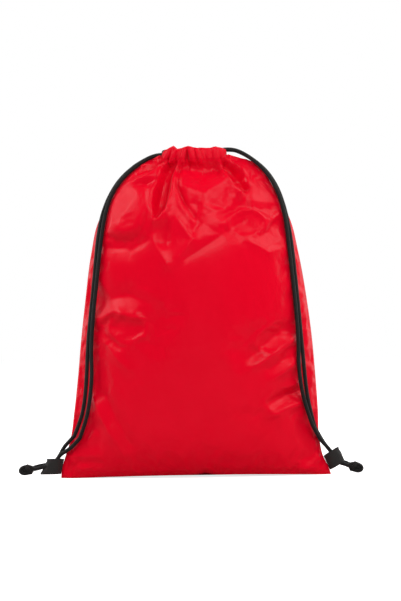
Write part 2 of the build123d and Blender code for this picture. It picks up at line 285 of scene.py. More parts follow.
# The two cords lie one above the other in the hems. Routes are in millimetres: a strand runs down from
# the end of its hem, and its lead goes on from there into the webbing loop.
lower_cord, upper_cord = 409.65, 415.35
strand_routes = {
    "left_cord_front_strand": [
        (-40.6, -5.9, lower_cord), (-49, -3.2, 409.5), (-62, -4.5, 404), (-78, -7, 393), (-94.5, -9, 377),
        (-107, -11.5, 357), (-113.5, -16, 335), (-118, -22, 310), (-121.5, -27, 282), (-126, -28, 242),
        (-131, -28.5, 200), (-133.5, -30, 163), (-132.5, -32.5, 130), (-136, -31.5, 98),
        (-141.5, -28, 72), (-149.5, -21.5, 52),
    ],
    "left_cord_back_strand": [
        (-40.6, 5.9, lower_cord), (-49, 3.2, 409.5), (-62, 2.5, 404.5), (-79, 0.5, 394), (-96.5, -1.5, 377.5),
        (-109, -4.5, 357), (-117.5, -10, 335), (-122.5, -17.5, 310), (-125.5, -22.5, 282),
        (-129.5, -23.5, 242), (-134.5, -24, 200), (-138, -25, 163), (-139.5, -25.8, 130),
        (-142.5, -25, 98), (-148, -21.5, 74), (-157, -14.5, 54),
    ],
    "right_cord_front_strand": [
        (40.6, -5.9, upper_cord), (49, -3.2, 415.8), (61, -4, 411.5), (76, -6.5, 401.5), (91, -8.5, 387),
        (102.5, -10.5, 369), (110.5, -14, 347), (115.5, -19.5, 323), (118.5, -25.5, 292),
        (122.5, -29.5, 252), (126, -32.5, 212), (128.5, -33.8, 172), (128, -34.8, 140),
        (131.5, -33, 110), (137.5, -28.5, 85), (145.5, -23, 63),
    ],
    "right_cord_back_strand": [
        (40.6, 5.9, upper_cord), (49, 3.2, 415.8), (61, 3, 411.5), (77, 0.8, 401.5), (92.5, -1, 387.5),
        (104.5, -3.5, 369), (112.5, -8, 347), (118, -14.5, 323), (122.5, -21.5, 292), (126, -25, 252),
        (129.5, -28, 212), (132.5, -29, 172), (135, -28.5, 140), (137.5, -27, 110), (142, -23, 84),
        (148.5, -15.5, 60),
    ],
}
lead_routes = {
    "left_cord_front_strand": [(-159, -15, 41), (-168, -8, 34.5), (-176.5, -3, 29.5), (-181, -2.65, 22.5)],
    "left_cord_back_strand": [(-167, -6.5, 44), (-172.5, -0.5, 37), (-176, 2.6, 30), (-181, 2.65, 22.5)],
    "right_cord_front_strand": [(152.5, -17, 49), (159.5, -9.5, 40), (166, -3.5, 33), (171, -2.65, 26)],
    "right_cord_back_strand": [(155.5, -5.5, 47.5), (160.5, 0, 39.5), (166, 2.6, 32.5), (171, 2.65, 26)],
}
strap_middle = 0.225  # height at which each strand is parted in two
strand_lines = []
leads = {}
for name, route in strand_routes.items():
    hand, _, hem_side, _ = name.split("_")
    line = smooth_route(route)
    strand_lines.append(line)
    cut = int(np.argmin(abs(line[:, 2] - strap_middle)))
    upper = tube(name + "_upper", line[: cut + 1], closed_ends=(True, False))
    lower = tube(name + "_lower", line[cut:], first_length=cut * route_spacing, closed_ends=(False, True))
    lead_line = smooth_route([route[-1], *lead_routes[name]])
    lead = tube(name.replace("strand", "lead"), lead_line, first_length=len(line) * route_spacing)
    leads[hand, hem_side] = (lead, lead_line)
    for piece, points, ends in (
        (upper, line[: cut + 1], ("bag", hand + "_strap")),
        (lower, line[cut:], (hand + "_strap", "bag")),
    ):
        piece.data.materials.append(cord_finish)
        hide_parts(name)
        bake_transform(piece)
# Inside the hems each cord runs from end to end, and at the end where it doesn't leave it turns from
# the front hem into the back one.
run_route = [
    (-40.3, -5.9, 0), (-27, -11.7, -1.4), (-9.5, -15.4, -2.0), (9.5, -15.4, -2.0), (24, -12.7, -2.0),
    (34, -9, -2.0),
]
turn_route = [(34.0, -9.0), (38.5, -6.5), (38.5, 6.5), (34.0, 9.0)]
sag = 2.0  # how far a cord sinks in its tunnel, away from where it leaves
tight_spacing = 0.0006
for hand, height, far in (("left", lower_cord, 1), ("right", upper_cord, -1)):
    turn = smooth_route([(far * x, y, height - sag) for x, y in turn_route], tight_spacing)
    middle = len(turn) // 2
    for hem_side, sign, half in (("front", 1, turn[: middle + 1]), ("back", -1, turn[middle:][::-1])):
        line = smooth_route([(far * x, sign * y, height + drop) for x, y, drop in run_route])
        run = tube(f"{hand}_cord_{hem_side}_hem_run", line)
        bend = tube(f"{hand}_cord_{hem_side}_turn", half[::-1], closed_ends=(False, True))
        for piece in (run, bend):
            piece.data.materials.append(cord_finish)
        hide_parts(f"{hand}_cord_{hem_side}_run")
        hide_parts(f"{hand}_cord_end_loop")
        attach(run, hem_side + "_hem")
        hem_side + "_hem"
        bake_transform(bend)


# ---- Tails and knots --------------------------------------------------------------------------------
# Below its webbing loop each pair of cord ends is tied in one overhand knot, which can't slip back
# through. The cut tips are melted so that the braid doesn't fray.
def joined(name, pieces):
    """Several pieces made one."""
    whole = bmesh.new()
    for piece in pieces:
        whole.from_mesh(piece.data)
    mesh = bpy.data.meshes.new(name)
    whole.to_mesh(mesh)
    whole.free()
    for piece in pieces:
        bpy.data.objects.remove(piece)
    made = bpy.data.objects.new(name, mesh)
    bpy.context.collection.objects.link(made)
    return made


cord_pitch = 5.3  # between the middles of two cords that lie side by side
wrap_radius = cord_radius * 0.97  # the cord is squeezed where it is knotted
knot_seat = 8.22  # from the end of the tails to the middle of the knot
# Each tail goes on from its lead, inside the loop, and out to the knot: place across and height.
tail_routes = {
    "left": [(-181.1, 22.2), (-184, 17), (-211, 12.4)],
    "right": [(171.2, 25.7), (179, 15), (192.5, 11)],
}
# Path of one cord in the knot: how far along the tails and how high, from the middle of the knot.
knot_turns = [
    (-8.6, 0.2), (-5.6, 2.5), (-0.5, 4.1), (5.6, 3.6), (8.6, 0.1), (5.8, -3.8), (-0.8, -4.5),
    (-5.6, -3.4), (-7.2, -0.8), (-3.6, 0.6), (4.4, -0.1),
]
for hand, outwards, slide in (("left", -1, 0.011), ("right", 1, 0.006)):
    tail_route = tail_routes[hand]
    (near_x, near_z), (far_x, far_z) = tail_route[-2:]
    droop = math.atan2(near_z - far_z, abs(far_x - near_x))
    along = np.array([outwards * math.cos(droop), 0, -math.sin(droop)])
    upright = np.array([outwards * math.sin(droop), 0, math.cos(droop)])
    middle = np.array([far_x, 0, far_z]) + knot_seat * along
    tails, wraps = [], []
    for sign in (-1, 1):
        spread = []
        for (x, z), offset in zip(tail_route, (0, 0.8, 1.3)):
            spread.append((x, sign * cord_pitch / 2, z + sign * offset))
        halfway = (np.array(spread[1]) + spread[2]) / 2 + [0, 0, 1.0]
        inside = middle - 6.5 * along + np.array([0, sign * 2.5, 0])
        route = [*spread[:2], tuple(halfway), spread[2], tuple(inside)]
        tails.append(tube(f"tail{sign}", smooth_route(route)))
        beside = np.array([0, sign * 2.55, 0])
        route = [tuple(middle + ahead * along + beside + above * upright) for ahead, above in knot_turns]
        wraps.append(tube(f"wrap{sign}", smooth_route(route, tight_spacing), radius=wrap_radius))
    route = []
    for step in range(14):
        angle = math.radians(30 * step - 40)
        ahead = -3.8 + 1.7 * math.cos(angle) + 0.12 * step
        beside = np.array([0, 5.2 * math.sin(angle), 0])
        route.append(tuple(middle + ahead * along + beside + 4.7 * math.cos(angle) * upright))
    wraps.append(tube("binding", smooth_route(route, tight_spacing), radius=wrap_radius))
    tail = joined(hand + "_cord_tails", tails)
    knot = joined(hand + "_knot", wraps)
    for piece in (tail, knot):
        piece.data.materials.append(cord_finish)
    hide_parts(hand + "_cord_tail")
    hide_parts(hand + "_cord_knot")
    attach(knot, hand + "_knot")
    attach(tail, hand + "_tab")
    hand + "_knot_slide"
    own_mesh(tail)
    for hem_side in ("front", "back"):
        lead, line = leads[hand, hem_side]
        lead.data.materials.append(cord_finish)
        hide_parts(hand + "_cord_lead")
        hand + "_tab"
        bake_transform(lead)
        carried = [tail, knot] if hem_side == "front" else []


# ---- Webbing loops ----------------------------------------------------------------------------------
# A strip of black polypropylene webbing, 20 mm wide, is folded in half and caught in the seam at each
# bottom corner. Both cords go down through the fold, and the tails push up its lower end.
webbing = 1.2
webbing_width = 20.0
loop_root, loop_full, fold_at = 2.4, 8.4, 15.3
loop_radius = 5.5 + webbing / 2


def woven_webbing():
    """Black webbing: flat ribs across the strip, each made of short floating yarns."""
    material, tree, shader = finish_with("woven_webbing", Specular_IOR_Level=0.2, Sheen_Weight=0.08)
    across, along = laid_out(tree)
    rib_pitch, yarn_pitch = 0.0016, 0.0022
    rib = ripple(tree, along * (2 * math.pi / rib_pitch))
    yarn = ripple(tree, across * (2 * math.pi / yarn_pitch))
    weave = (rib * yarn) * 0.3 + rib * 0.2 + 0.5
    fibre = noise(tree, 1500.0, 2.0)
    worn = noise(tree, 120.0, 2.0)
    shade = weave * 0.6 + fibre * 0.25 + worn * 0.15
    colour = tinted(tree, shade, (0.006, 0.0055, 0.005), (0.034, 0.031, 0.029))
    tree.links.new(colour.socket, shader.inputs["Base Color"])
    tree.links.new((0.55 + worn * 0.2).socket, shader.inputs["Roughness"])
    raised(tree, shader, weave * 0.8 + fibre * 0.2, 0.0005)
    return material


def eased_step(value):
    """Smooth step from 0 to 1."""
    share = np.clip(value, 0.0, 1.0)
    return share * share * (3 - 2 * share)


def settled(piece, *modifiers):
    """Applies modifiers to a piece: each is its kind and its settings."""
    for kind, settings in modifiers:
        modifier = piece.modifiers.new(kind.lower(), kind)
        for name, value in settings.items():
            setattr(modifier, name, value)
    graph = bpy.context.evaluated_depsgraph_get()
    mesh = bpy.data.meshes.new_from_object(
        piece.evaluated_get(graph), preserve_all_data_layers=True, depsgraph=graph
    )
    piece.modifiers.clear()
    piece.data = mesh
    mesh.polygons.foreach_set("use_smooth", [True] * len(mesh.polygons))
    return piece


webbing_finish = woven_webbing()
flare = math.asin((loop_radius - 0.9) / (loop_full - loop_root))
rows = 14
# For each hand: foot and head of the loop at the seam, degrees by which it tilts up, how far the tails
# push up the lower end of the fold, and how far the front layer spreads there.
for hand, outwards, low, high, tilt, push, spread in (
    ("left", -1, (175.0, 5.0), (170.5, 25.0), 0.0, 11.0, 7.0),
    ("right", 1, (167.5, 5.0), (158.5, 24.5), 31.0, 6.0, 1.5),
):
    lean = math.atan2(low[0] - high[0], high[1] - low[1])
    tilt = math.radians(tilt)
    outline = [(0.3, 0.62), (loop_root - 0.9 * math.sin(flare), 0.9 * math.cos(flare))]
    for step in range(6):
        angle = math.pi / 2 + flare - flare * step / 5
        outline.append((loop_full + loop_radius * math.cos(angle), loop_radius * math.sin(angle)))
    for step in range(15):
        angle = math.pi / 2 - math.pi * step / 28
        outline.append((fold_at + loop_radius * math.cos(angle), loop_radius * math.sin(angle)))
    outline += [(x, -y) for x, y in outline[-2::-1]]
    outline = np.array(outline)
    even = np.linspace(0, run_along(outline)[-1], 61)
    outline = evenly(outline, 60)
    points, faces, layout = [], [], []
    for (x, y), at in zip(outline, even):
        in_front = 1 - float(eased_step((y + 5.0) / 5.0))
        foot = push * float(eased_step((x - fold_at + 7.0) / 7.5)) * (1 - in_front)
        for row in range(rows + 1):
            share = row / rows
            height = foot + (webbing_width - foot) * share
            low_corner = eased_step((x - fold_at + 6) / 9) * eased_step(1 - share / 0.5)
            corner = spread * in_front * float(low_corner)
            crumple = 0.55 * math.sin(share * 9 + x * 0.5) * float(eased_step((x - 6) / 12)) * (push / 11)
            stretch = 1.0 + 0.04 * math.sin(at * 0.35)
            local = (x * 1.03 + crumple + corner, y * stretch, height)
            points.append((
                (outwards * (low[0] + local[0] * math.cos(tilt) - local[2] * math.sin(lean))) / 1000,
                local[1] / 1000,
                (low[1] + local[0] * math.sin(tilt) + local[2] * math.cos(lean)) / 1000,
            ))
    for column in range(len(outline) - 1):
        for row in range(rows):
            near, beyond = column * (rows + 1) + row, (column + 1) * (rows + 1) + row
            face = (near, beyond, beyond + 1, near + 1)
            left, right = webbing_width * row / rows, webbing_width * (row + 1) / rows
            start, end = even[column], even[column + 1]
            spots = [(left, start), (left, end), (right, end), (right, start)]
            faces.append(face if outwards > 0 else face[::-1])
            layout += [(u / 1000, v / 1000) for u, v in (spots if outwards > 0 else spots[::-1])]
    tab = new_piece(hand + "_webbing_tab", points, faces, layout)
    settled(tab, ("SOLIDIFY", {"thickness": webbing / 1000, "offset": 0.0}), ("SUBSURF", {"levels": 1}))
    tab.data.materials.append(webbing_finish)
    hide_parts(hand + "_webbing_loop")
    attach(tab, hand + "_tab")
    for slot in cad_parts[hand + "_webbing_anchor"].material_slots:
        slot.material = webbing_finish


# ---- Bag panels -------------------------------------------------------------------------------------
# Two panels of thin red nylon taffeta are sewn together along both sides and the bottom. The filled
# bag bellies out between its seams, and the cloth below the hem is drawn into folds.
# Height, reach to the left, reach to the right and half depth, in millimetres.
body_sections = np.array([
    (0.0, 175.2, 168.8, 31.0), (5.0, 175.0, 167.5, 37.5), (24.5, 170.5, 158.8, 51.5),
    (45.0, 163.8, 154.8, 60.5), (85.0, 157.3, 153.3, 69.5), (130.0, 151.8, 150.5, 74.5),
    (175.0, 147.3, 147.0, 77.5), (225.0, 141.3, 141.0, 77.5), (285.0, 132.8, 131.0, 70.5),
    (325.0, 123.3, 121.6, 60.5), (355.0, 106.6, 107.0, 48.0), (378.0, 90.8, 94.6, 36.0),
    (387.0, 83.0, 89.4, 30.5), (394.0, 75.6, 82.4, 26.5), (399.0, 67.5, 75.0, 23.8),
    (403.2, 55.5, 61.0, 21.5),
])
columns = 92
base_rows = 5  # rows of the mesh under the bag, from the bottom seam to the turn of the base
cloth_width = 0.36  # of one panel in its own layout, in metres
hem_foot = 403.2
hem_reach = 42  # from the middle of a hem to its ends, across the bag
rim_end = 42.5
hem_radius, hem_centre, hem_half_angle = 93.39, -78.39, math.radians(25.36)
# Pleats of the two hems: place across the bag at the foot and at the head, how far they stand out and
# half width, in millimetres.
pleats = {
    -1: [(-41, -37, 2.6, 4.0), (-37, -28.5, 4.6, 5.4), (-26.5, -22.5, 5.4, 3.8), (-19.5, -18, 2.6, 3.2),
         (-14, -11, 4.8, 4.2), (-1.5, -4.5, 6.0, 4.6), (6.5, 3.0, 4.4, 3.8), (12.5, 10.0, 1.6, 3.0),
         (19, 16.5, 2.2, 5.4), (28, 27.5, 3.6, 5.6), (36, 34, 4.2, 4.2), (42, 40, 2.4, 4.0)],
    1: [(-40, -38, 3.0, 4.6), (-31, -29, 5.0, 5.4), (-22, -20, 2.8, 3.6), (-14.5, -12, 5.4, 4.6),
        (-6, -4, 3.0, 4.2), (2, 3.5, 5.6, 5.2), (10.5, 11, 2.4, 3.4), (18, 17, 5.0, 4.8),
        (27.5, 26, 3.6, 5.6), (36, 34, 4.6, 4.4), (42, 40, 2.4, 3.6)],
}


def pleat_wave(x, side, rise=0.0):
    """How far the pleats of a hem stand out at a place across it: round backs and sharp valleys."""
    wave = np.zeros_like(np.asarray(x, dtype=float))
    for foot, head, height, width in pleats[side]:
        place = foot + (head - foot) * rise
        wave = np.maximum(wave, height * np.sqrt(np.clip(1 - ((x - place) / width) ** 2, 0, 1)))
    return wave - 1.6 * np.exp(-wave / 0.8)


def hem_outline(side, offset, share):
    """Plan of a hem at a share of its length from -1 to 1, offset outwards from its tunnel."""
    angle = hem_half_angle * share
    # one tuck, where the gathers are drawn in deepest
    tuck = 1.2 * np.exp(-(((hem_reach * share + side * 19) / 9) ** 2)) * np.clip(offset / 5, 0, 1)
    radius = hem_radius + offset - tuck
    return radius * np.sin(angle), side * (hem_centre + radius * np.cos(angle))


def section_at(heights):
    """Reach to the left, reach to the right and half depth of the bag at each height."""
    known, values = body_sections[:, 0], body_sections[:, 1:]
    slopes = np.gradient(values, known, axis=0)
    index = np.clip(np.searchsorted(known, heights) - 1, 0, len(known) - 2)
    span = (known[index + 1] - known[index])[:, None]
    t = (heights - known[index])[:, None] / span
    return (
        (2 * t**3 - 3 * t**2 + 1) * values[index] + (t**3 - 2 * t**2 + t) * span * slopes[index]
        + (3 * t**2 - 2 * t**3) * values[index + 1] + (t**3 - t**2) * span * slopes[index + 1]
    )


def body_rows():
    """Heights of the rows of the mesh, evenly spaced along the belly."""
    fine = np.linspace(0, hem_foot, 1600)
    found = section_at(fine)
    steps = np.sqrt(np.diff(fine) ** 2 + 0.6 * (np.diff(found, axis=0) ** 2).sum(1))
    run = np.concatenate([[0], np.cumsum(steps)])
    return np.interp(np.linspace(0, run[-1], 104), run, fine)


def half_grid(side):
    """Grid of one panel, seam to seam and base to hem, before its folds."""
    heights = body_rows()
    place = np.linspace(-hem_reach, hem_reach, 180)
    share = place / hem_reach
    wave = pleat_wave(place, side)
    grid = []
    for height, (reach_left, reach_right, depth) in zip(heights, section_at(heights)):
        angle = np.linspace(0, math.pi, 400)
        u = -np.cos(angle)
        middle, half = (reach_right - reach_left) / 2, (reach_right + reach_left) / 2
        y = side * depth * (1 - abs(u) ** 2.2) ** 0.75
        row = evenly(np.stack([middle + half * u, y, np.full(400, height)], 1), columns)
        blend = float(eased_step((height - 376) / (hem_foot - 376)))
        pleated = float(eased_step((height - 386) / (hem_foot - 386)))
        rim_x, rim_y = hem_outline(side, 5.4 + wave * pleated, share)
        rim = np.stack([rim_x, rim_y, 5.5 * eased_step((abs(place) - 36) / 6)], 1)
        gap_left, gap_right = reach_left - rim_end, reach_right - rim_end
        left = [(-reach_left, 0, 1.0), (-rim_end - 0.5 * gap_left, side * 5.5, 3.6), (-44.5, side * 8.6, 5.6)]
        right = [(44.5, side * 8.6, 5.6), (rim_end + 0.5 * gap_right, side * 5.5, 3.4), (reach_right, 0, 1.0)]
        target = evenly(np.concatenate([left, rim, right]), columns) + [0, 0, height]
        grid.append(row * (1 - blend) + target * blend)
    return np.array(grid)


# Folds of the cloth, each a line of spots: place across, height, half width and how far it stands out,
# in millimetres. The first number of a fold says how steep its sides are.
front_folds = [
    # deep fold that hangs from the left of the hem, with its two lips
    (5, [(-22, 404, 3.0, -4), (-33, 385, 6.5, -9), (-40, 362, 9.5, -12), (-44, 344, 8, -11),
         (-47.5, 331, 4, -6)]),
    (1.6, [(-26, 404, 2.5, 2.5), (-42, 386, 4, 4.5), (-52, 360, 4.5, 5.5), (-54, 340, 4, 4.5),
           (-50, 323, 4, 4)]),
    (1.6, [(-17, 403, 2.5, 2), (-26, 385, 3.5, 3.5), (-28, 368, 4, 5), (-33, 345, 4, 4.5), (-43, 325, 4, 4)]),
    # pocket to the right of it
    (1.6, [(-12, 403, 2, -2), (-19, 386, 3, -3), (-21.5, 368, 3, -5), (-13, 348, 3, -5.5), (0, 329, 3, -3)]),
    (1.6, [(-25, 372, 3, 1.5), (-18, 345, 3, 2.5), (-5, 325, 3.5, 2)]),
    (3, [(7, 361, 8, -2.5), (3, 345, 7, -3.5), (1, 333, 5, -2)]),
    # dent under the middle of the hem, with its lower lip
    (3, [(-4, 390, 9, -3), (11, 383, 12, -7), (28, 387, 10, -6)]),
    (1.6, [(-12, 366, 8, 2), (12, 358, 12, 3.5), (40, 374, 10, 2.5)]),
    # wedge under the right end of the hem
    (5, [(36, 404, 3, -4), (46, 388, 6.5, -9), (56, 376, 8.5, -11), (63, 364, 4, -7)]),
    (1.6, [(32, 402, 3, 2.5), (40, 382, 4, 4.5), (57, 357, 4, 4.5)]),
    (1.6, [(47, 402, 3, 2), (62, 388, 4, 3.5), (69, 369, 4, 3)]),
    # small folds that follow the left shoulder
    (1.6, [(-40, 404, 3, 2.5), (-60, 396, 3.5, 3), (-82, 383, 4, 2.5)]),
    (1.6, [(-37, 400, 3, -3), (-55, 390, 3.5, -4), (-80, 377, 4, -2.5)]),
    (1.6, [(-33, 398, 3, 2.5), (-52, 384, 4, 3.5), (-84, 371, 5, 2.5)]),
    (1.6, [(-72, 369, 4, -2), (-60, 371, 4, -4), (-48, 374, 4, -3)]),
    # upper left facet and the hollow below it
    (1.6, [(-70, 352, 26, 5), (-92, 318, 22, 9)]),
    (1.6, [(-112, 294, 13, -4), (-84, 290, 14, -6), (-58, 302, 12, -4)]),
    # slack below the deep folds
    (1.6, [(-53, 302, 5, 2.5), (-35, 268, 6, 3)]),
    (1.6, [(-20, 322, 6, 2.5), (-2, 300, 5, 3.5), (-20, 278, 5, 2)]),
    (3, [(-38, 318, 8, -3.5), (-40, 300, 9, -3.5)]),
    (1.6, [(5, 322, 9, -4), (-2, 310, 8, -3)]),
    # left side, halfway up
    (1.6, [(-112, 228, 13, -4), (-86, 232, 15, -5), (-62, 221, 8, -3)]),
    (1.6, [(-122, 200, 5, 3), (-101, 211, 6, 6), (-78, 204, 6, 5), (-64, 203, 4, 2)]),
    (1.6, [(-108, 184, 8, 2), (-85, 176, 9, 3), (-45, 180, 9, 2)]),
    (1.6, [(-112, 172, 5, 2), (-96, 150, 5, 2.5), (-84, 138, 5, 1.5)]),
    # right side, low
    (1.6, [(74, 141, 5, 3), (95, 156, 6, 5), (118, 172, 6, 5)]),
    (1.6, [(66, 150, 6, -3), (86, 167, 7, -5), (108, 183, 7, -4)]),
    (1.6, [(95, 124, 5, 2), (107, 133, 5, 4), (122, 144, 5, 3.5)]),
    (1.6, [(92, 136, 5, -2.5), (112, 149, 5, -3.5)]),
    (1.6, [(112, 112, 4, 2), (124, 117, 4, 3.5)]),
    (1.6, [(90, 76, 5, 2.5), (108, 86, 6, 5), (130, 93, 6, 5)]),
    (1.6, [(92, 93, 6, -3), (112, 103, 7, -5), (130, 109, 6, -4)]),
    (1.6, [(138, 10, 5, 2), (152, 20, 5, 3)]),
    # left side, low
    (1.6, [(-129, 104, 4, 2.5), (-120, 80, 7, 5), (-106, 55, 7, 4.5), (-94, 33, 4, 2)]),
    (1.6, [(-117, 106, 6, -3), (-103, 74, 9, -5), (-87, 45, 8, -4)]),
    (1.6, [(-137, 46, 4, 2), (-130, 56, 4, 3)]),
    (1.6, [(-166, 4, 3, -2), (-158, 16, 3, -2.5), (-150, 22, 3, -1)]),
    # long shallow creases
    (1.6, [(-12, 277, 4, -1.6), (20, 296, 5, -2), (60, 322, 5, -1.4)]),
    (1.6, [(46, 352, 2, 0.4), (80, 348, 2, 0.6), (112, 344, 2, 0.5)]),
    (1.6, [(50, 343, 2, -0.4), (80, 339, 2, -0.6), (112, 336, 2, -0.5)]),
    (1.6, [(60, 300, 4, 1.2), (92, 282, 5, 2), (118, 290, 5, 1.5)]),
]
back_folds = [
    (4, [(14, 404, 3.0, -3), (22, 384, 7, -8), (30, 360, 9, -9), (36, 340, 6, -4)]),
    (1.6, [(9, 404, 2.5, 2), (13, 384, 4, 3), (18, 360, 4, 4), (28, 334, 4, 3)]),
    (1.6, [(19, 404, 2.5, 2), (32, 385, 4, 4), (41, 362, 4, 4), (44, 338, 4, 3)]),
    (4, [(-30, 404, 3, -3), (-44, 386, 7, -7), (-56, 368, 7, -7), (-64, 352, 4, -3)]),
    (1.6, [(-25, 403, 3, 2), (-35, 384, 4, 3), (-48, 360, 5, 4), (-62, 344, 4, 2)]),
    (1.6, [(-36, 404, 3, 2), (-56, 388, 4, 3), (-70, 366, 5, 3)]),
    (3, [(-14, 398, 10, -4), (-6, 382, 13, -7), (-4, 366, 8, -3)]),
    (1.6, [(-20, 362, 8, 2), (-4, 352, 10, 3), (12, 356, 7, 2)]),
    (3, [(42, 402, 3, -3), (62, 389, 5, -5), (80, 374, 5, -4)]),
    (1.6, [(48, 404, 3, 2), (70, 392, 4, 3), (90, 378, 4, 2)]),
    (1.6, [(60, 342, 24, 4), (84, 318, 22, 6)]),
    (1.6, [(112, 292, 13, -4), (82, 290, 14, -5), (54, 304, 12, -3)]),
    (1.6, [(-88, 330, 20, 4), (-70, 308, 18, 3)]),
    (1.6, [(-104, 300, 6, -3), (-78, 282, 7, -4), (-50, 280, 6, -2)]),
    (1.6, [(116, 232, 12, -4), (88, 224, 13, -5)]),
    (1.6, [(124, 208, 6, 4), (98, 200, 7, 5), (70, 206, 6, 2)]),
    (1.6, [(-120, 190, 6, 3), (-96, 172, 7, 5), (-70, 168, 6, 2)]),
    (1.6, [(-116, 172, 6, -3), (-92, 154, 7, -4)]),
    (1.6, [(128, 108, 6, 4), (112, 84, 7, 5), (98, 58, 6, 3)]),
    (1.6, [(114, 112, 6, -3), (98, 84, 8, -4), (84, 60, 7, -2)]),
    (1.6, [(-92, 74, 5, 2), (-112, 84, 6, 5), (-132, 90, 6, 4)]),
    (1.6, [(-94, 92, 6, -3), (-116, 102, 7, -4)]),
    (1.6, [(-10, 300, 5, -1.6), (-34, 268, 6, -2.4), (-44, 236, 5, -1.4)]),
    (1.6, [(26, 262, 6, 1.6), (44, 236, 7, 2.4), (50, 204, 6, 1.2)]),
]


def fold_height(x, z, folds):
    """Sum of all folds at places of a panel, in millimetres."""
    total = np.zeros_like(x)
    fullness = 1.3
    for steepness, spots in folds:
        nearest = np.full(x.shape, np.inf)
        height = np.zeros_like(x)
        for (x0, z0, w0, h0), (x1, z1, w1, h1) in zip(spots, spots[1:]):
            run = np.array([x1 - x0, z1 - z0])
            share = np.clip(((x - x0) * run[0] + (z - z0) * run[1]) / (run @ run), 0, 1)
            distance = np.hypot(x - x0 - share * run[0], z - z0 - share * run[1])
            ratio = distance / (w0 + share * (w1 - w0))
            closer = ratio < nearest
            nearest = np.where(closer, ratio, nearest)
            height = np.where(closer, h0 + share * (h1 - h0), height)
        total = total + fullness * height / (1 + nearest**steepness) * np.clip(1.2 - nearest / 5, 0, 1)
    return total


# Facets, where the cloth is drawn flat between folds: place across, height and half sizes.
front_facets = [
    (-90, 342, 27, 34), (28, 354, 27, 17), (90, 352, 20, 27), (66, 320, 26, 15), (-12, 320, 20, 14),
    (-86, 190, 26, 16), (96, 172, 24, 14), (104, 92, 22, 12),
]
back_facets = [
    (86, 340, 28, 34), (-30, 350, 28, 18), (-88, 350, 22, 27), (-60, 316, 26, 16), (20, 316, 22, 16),
    (88, 192, 26, 18), (-92, 176, 26, 16), (-104, 90, 22, 14),
]


def flattened(grid, facets):
    """The grid with the cloth drawn towards the plane that fits it best in each facet."""
    for across, height, half_width, half_height in facets:
        x, z = grid[..., 0] - across, grid[..., 2] - height
        mask = eased_step((1.3 - np.hypot(x / half_width, z / half_height)) / 0.55)
        inside = mask > 0.5
        spots = np.stack([np.ones(inside.sum()), x[inside], z[inside]], 1)
        plane = np.linalg.lstsq(spots, grid[..., 1][inside], rcond=None)[0]
        flat = plane[0] + plane[1] * x + plane[2] * z
        grid[..., 1] += 0.9 * mask * (flat - grid[..., 1])
    return grid


def outward(grid, side):
    """Unit normals of a panel's grid, pointing out of the bag."""
    across = np.gradient(grid, axis=1)
    upwards = np.gradient(grid, axis=0)
    normals = np.cross(across, upwards) * (1 if side < 0 else -1)
    return normals / np.maximum(np.linalg.norm(normals, axis=2), 1e-9)[..., None]


def plain_grid(side, facets):
    """Grid of one panel with its facets, and a base that turns under to the bottom seam."""
    grid = flattened(half_grid(side), facets)
    arch = 3.6 * np.clip(1 - (grid[..., 0] / 165) ** 2, 0, 1) + 2.4 * np.exp(-(((grid[..., 0] - 8) / 9) ** 2))
    grid[..., 2] += arch * np.exp(-grid[..., 2] / 16)
    base = []
    for share in np.arange(base_rows) / base_rows:
        row = grid[0].copy()
        row[:, 1] *= share
        base.append(row)
    return np.concatenate([base, grid])


def refined(grid):
    """The grid with one more point between every two, along smooth curves."""
    for axis in (0, 1):
        grid = np.moveaxis(grid, axis, 0)
        before = np.concatenate([grid[:1], grid[:-2]])
        after = np.concatenate([grid[2:], grid[-1:]])
        made = np.empty((2 * len(grid) - 1, *grid.shape[1:]))
        made[::2] = grid
        made[1::2] = (9 * (grid[:-1] + grid[1:]) - before - after) / 16
        grid = np.moveaxis(made, 0, axis)
    return grid


def folded_grid(plain, side, folds):
    """The fine grid of one panel with its folds, and the puckers along its seams."""
    grid = refined(plain)
    x, z = grid[..., 0], grid[..., 2]
    columns_in = np.minimum(np.arange(2 * columns + 1), np.arange(2 * columns, -1, -1))[None, :] / 2
    rows_up = np.clip((np.arange(len(grid))[:, None] - 2 * base_rows) / 2, 0, None)
    rim_fade = eased_step((hem_foot - z) / 10.0) * eased_step(rows_up / 1.5)
    stitch_wave = 0.5 * np.sin(z / 4.6 + 2 * np.sin(z / 31))
    pucker = stitch_wave * np.exp(-columns_in / 3.0) * eased_step(columns_in / 1.5)
    height = fold_height(x, z, folds) * eased_step(columns_in / 5.0) + pucker
    normals = outward(grid, side)
    smoothing_passes = 24
    for _ in range(smoothing_passes):
        normals[:, 1:-1] = (normals[:, :-2] + 2 * normals[:, 1:-1] + normals[:, 2:]) / 4
        normals[1:-1] = (normals[:-2] + 2 * normals[1:-1] + normals[2:]) / 4
    normals /= np.maximum(np.linalg.norm(normals, axis=2), 1e-9)[..., None]
    return grid + normals * (height * rim_fade)[..., None]


def bag_mesh(front, back):
    """Both panels as one closed sleeve, joined along the seams."""
    rows = front.shape[0]
    around = 2 * columns
    ring = np.concatenate([front, back[:, -2:0:-1]], axis=1).reshape(-1, 3) / 1000
    faces = []
    for row in range(rows - 1):
        for step in range(around):
            after = (step + 1) % around
            low, high = row * around, (row + 1) * around
            faces.append((low + step, low + after, high + after, high + step))
    return ring, faces, rows, around


front = plain_grid(-1, front_facets)
back = plain_grid(1, back_facets)
ring, faces, rows, around = bag_mesh(front, back)


